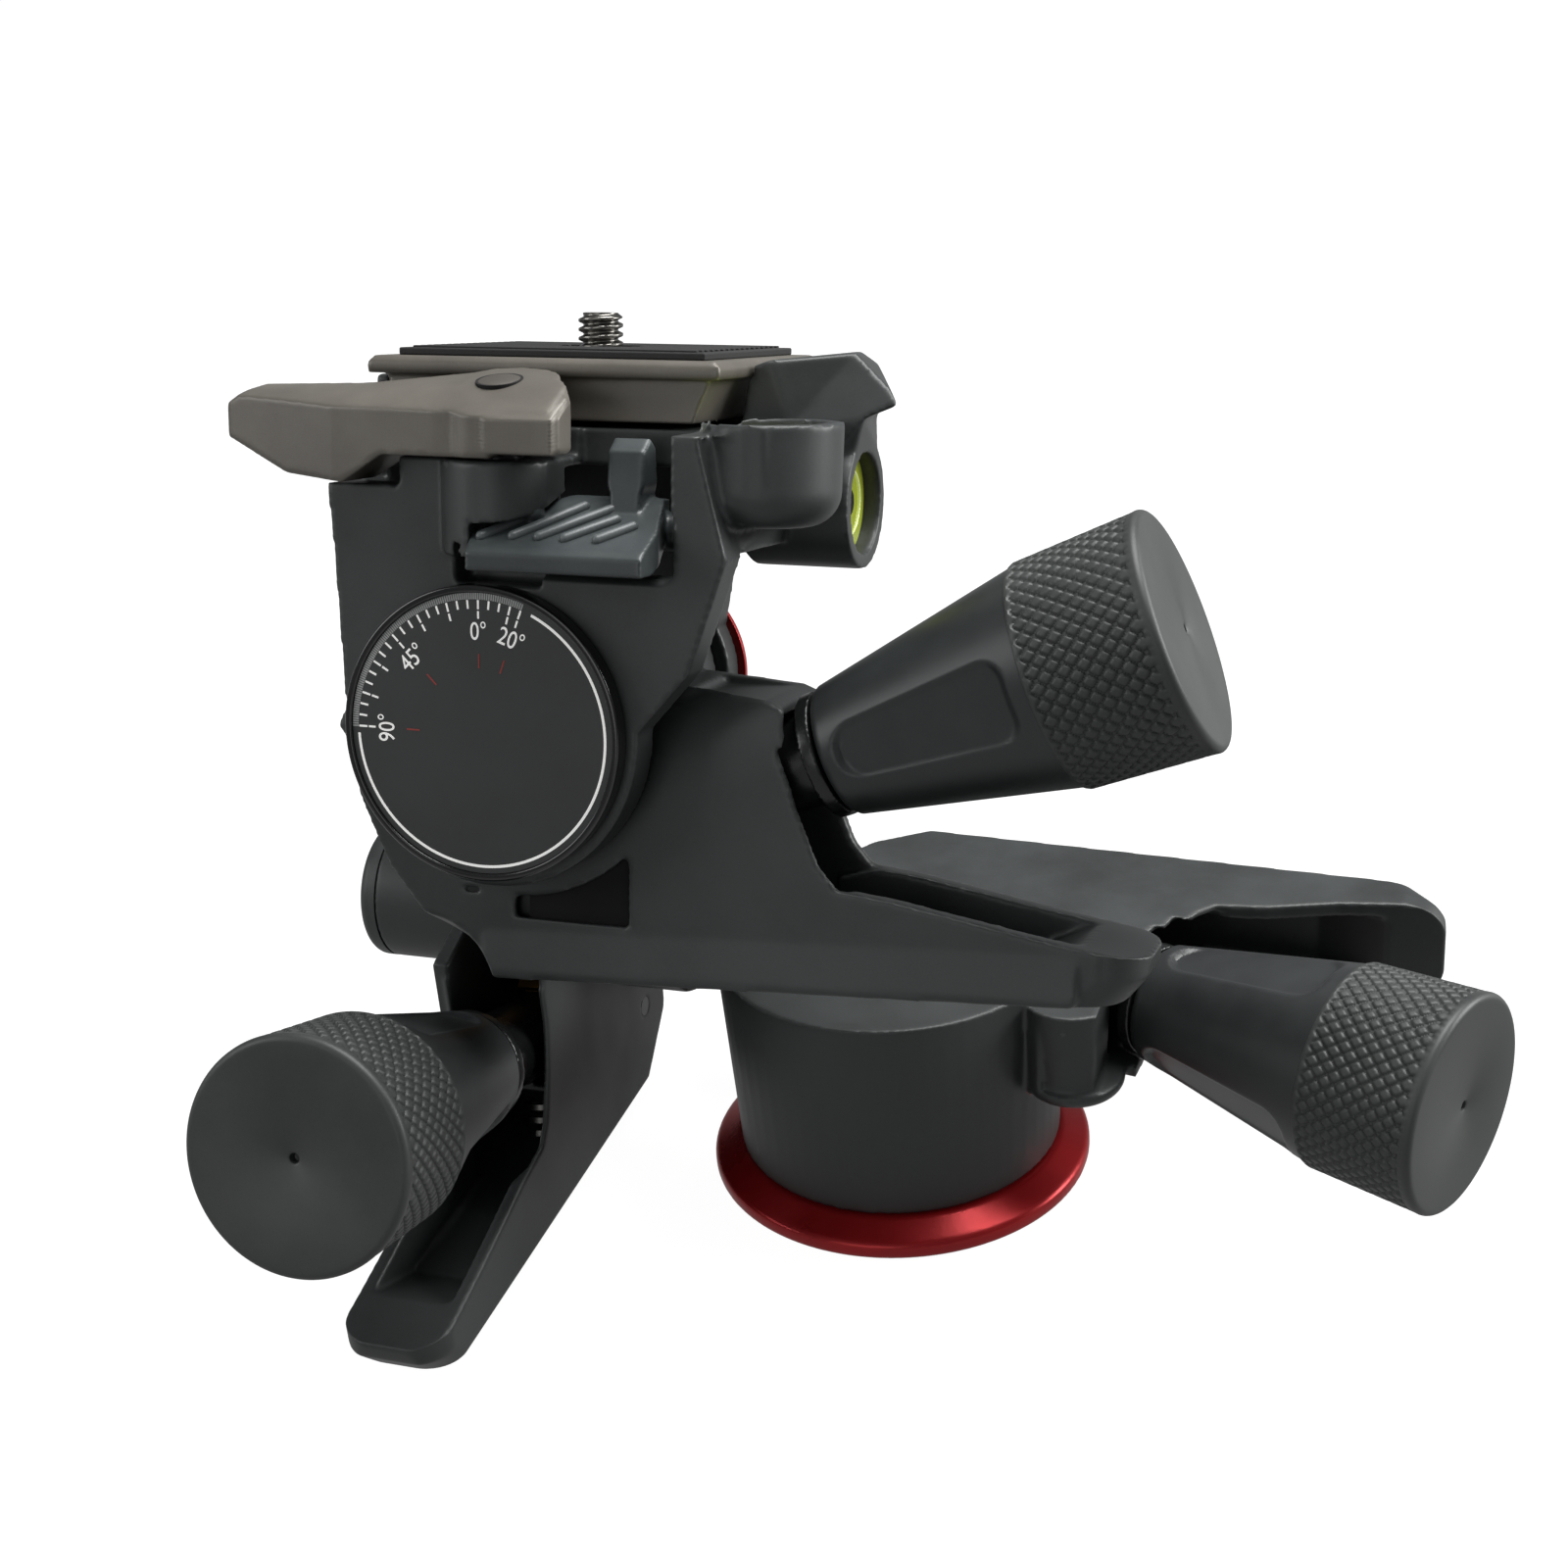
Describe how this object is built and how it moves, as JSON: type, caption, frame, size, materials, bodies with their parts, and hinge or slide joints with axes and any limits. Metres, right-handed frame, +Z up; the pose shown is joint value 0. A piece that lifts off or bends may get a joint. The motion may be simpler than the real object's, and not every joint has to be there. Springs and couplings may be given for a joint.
{
  "type": "geared tripod head",
  "caption": "Three-way geared head for a tripod: worm-driven pan, lateral and front tilt with conical knobs, squeeze-to-release wings and a quick-release camera plate.",
  "frame": {"origin": "centre of the round base's underside, at the mouth of the tripod thread", "axes": "+Z up along the pan axis, -Y the side with the tilt dial, +X the side that the pan and front knobs point to"},
  "size_m": [0.179, 0.1286, 0.1393],
  "materials": {
    "casting": "satin charcoal paint",
    "carrier": "black anodised",
    "knob": "satin moulded",
    "knob_grip": "knurled, satin",
    "plate": "cast, taupe paint",
    "red_trim": "red anodised",
    "pad": "matt",
    "steel": "turned",
    "bronze": "cut, oiled",
    "spring": "drawn wire",
    "dial": "printed face, gloss rim",
    "cap": "satin moulded",
    "vial": "clear, yellow-green liquid"
  },
  "bodies": {
    "base": {"base_ring": "red_trim", "base_screws": "steel", "thread_insert": "steel", "pan_spindle": "steel", "pan_worm_wheel": "bronze", "pan_retaining_ring": "steel"},
    "lower_body": {"lower_housing": "casting", "pan_bush": "bronze", "lateral_bush": "bronze", "lateral_side_bush": "bronze", "lateral_end_cap": "casting", "pan_pivot_pin": "steel", "lateral_pivot_pin": "steel", "pan_release_spring": "spring", "lateral_release_spring": "spring"},
    "pan_swing": {"pan_swing_carrier": "carrier"},
    "lateral_swing": {"lateral_swing_carrier": "carrier"},
    "front_swing": {"front_swing_carrier": "carrier"},
    "pan_control": {"pan_worm_shaft": "steel", "pan_knob": "knob", "pan_knob_grip": "knob_grip"},
    "lateral_control": {"lateral_worm_shaft": "steel", "lateral_knob": "knob", "lateral_knob_grip": "knob_grip"},
    "front_control": {"front_worm_shaft": "steel", "front_knob": "knob", "front_knob_grip": "knob_grip"},
    "middle_body": {"middle_housing": "casting", "front_bush": "bronze", "dial": "dial", "lateral_cross_shaft": "steel", "lateral_worm_wheel": "bronze", "lateral_hub_screw": "steel", "front_pivot_pin": "steel", "front_release_spring": "spring"},
    "lever": {"release_lever": "plate", "lever_cap": "cap"},
    "tab": {"safety_tab": "cap"},
    "screw": {"camera_screw": "steel"},
    "top_body": {"camera_plate": "plate", "front_cross_shaft": "steel", "front_worm_wheel": "bronze", "lever_pivot_pin": "steel", "plate_pad": "pad", "rear_cap": "cap", "rear_trim_ring": "red_trim", "round_level_vial": "vial", "safety_tab_pin": "steel", "side_level_vial": "vial", "top_bracket": "casting"}
  },
  "joints": [
    {"name": "pan_turn", "type": "hinge", "parent": "base", "child": "lower_body", "pos_m": [0, 0, 0], "axis": [0, 0, 1], "continuous": true},
    {"name": "lateral_tilt", "type": "hinge", "parent": "lower_body", "child": "middle_body", "pos_m": [-0.054, 0, 0.039], "axis": [-1, 0, 0], "range_deg": [-15, 74.7]},
    {"name": "front_tilt", "type": "hinge", "parent": "middle_body", "child": "top_body", "pos_m": [-0.04, -0.03022, 0.0877], "axis": [0, -0.9646, 0.2639], "range_deg": [-20, 90]},
    {"name": "pan_release", "type": "hinge", "parent": "lower_body", "child": "pan_swing", "pos_m": [-0.00613, 0.0231, 0.03], "axis": [0, 0, 1], "range_deg": [0, 8], "stiffness_Nm_per_rad": 1.2, "springref_deg": -20.05, "deforming": ["pan_release_spring"]},
    {"name": "pan_knob_turn", "type": "hinge", "parent": "pan_swing", "child": "pan_control", "pos_m": [0.00727, 0.01755, 0.03], "axis": [0.9239, -0.3827, 0], "continuous": true},
    {"name": "lateral_release", "type": "hinge", "parent": "lower_body", "child": "lateral_swing", "pos_m": [-0.054, 0.00733, 0.01625], "axis": [1, 0, 0], "range_deg": [0, 8], "stiffness_Nm_per_rad": 1.2, "springref_deg": -20.05, "deforming": ["lateral_release_spring"]},
    {"name": "lateral_knob_turn", "type": "hinge", "parent": "lateral_swing", "child": "lateral_control", "pos_m": [-0.054, -0.00634, 0.02109], "axis": [0, -0.9426, 0.3338], "range_deg": [-2241, 450]},
    {"name": "front_release", "type": "hinge", "parent": "middle_body", "child": "front_swing", "pos_m": [-0.04612, -0.03632, 0.06542], "axis": [0, 0.9646, -0.2639], "range_deg": [0, 8], "stiffness_Nm_per_rad": 1.2, "springref_deg": -20.05, "deforming": ["front_release_spring"]},
    {"name": "front_knob_turn", "type": "hinge", "parent": "front_swing", "child": "front_control", "pos_m": [-0.03273, -0.03485, 0.07077], "axis": [0.9239, 0.101, 0.3691], "range_deg": [-2700, 600]},
    {"name": "release_lever_turn", "type": "hinge", "parent": "top_body", "child": "lever", "pos_m": [-0.0388, -0.03281, 0.12635], "axis": [0, 0.2639, 0.9646], "range_deg": [0, 50], "stiffness_Nm_per_rad": 0.15, "springref_deg": -28.65},
    {"name": "safety_tab_press", "type": "hinge", "parent": "top_body", "child": "tab", "pos_m": [-0.0285, -0.03033, 0.11572], "axis": [1, 0, 0], "range_deg": [0, 8], "stiffness_Nm_per_rad": 0.03, "springref_deg": -28.65},
    {"name": "camera_screw_turn", "type": "hinge", "parent": "top_body", "child": "screw", "pos_m": [-0.037, -0.003, 0.12276], "axis": [0, 0.2639, 0.9646], "continuous": true}
  ],
  "couplings": [
    {"joint": "pan_knob_turn", "follows": "pan_turn", "ratio": -30},
    {"joint": "lateral_knob_turn", "follows": "lateral_tilt", "ratio": -30},
    {"joint": "front_knob_turn", "follows": "front_tilt", "ratio": -30}
  ]
}
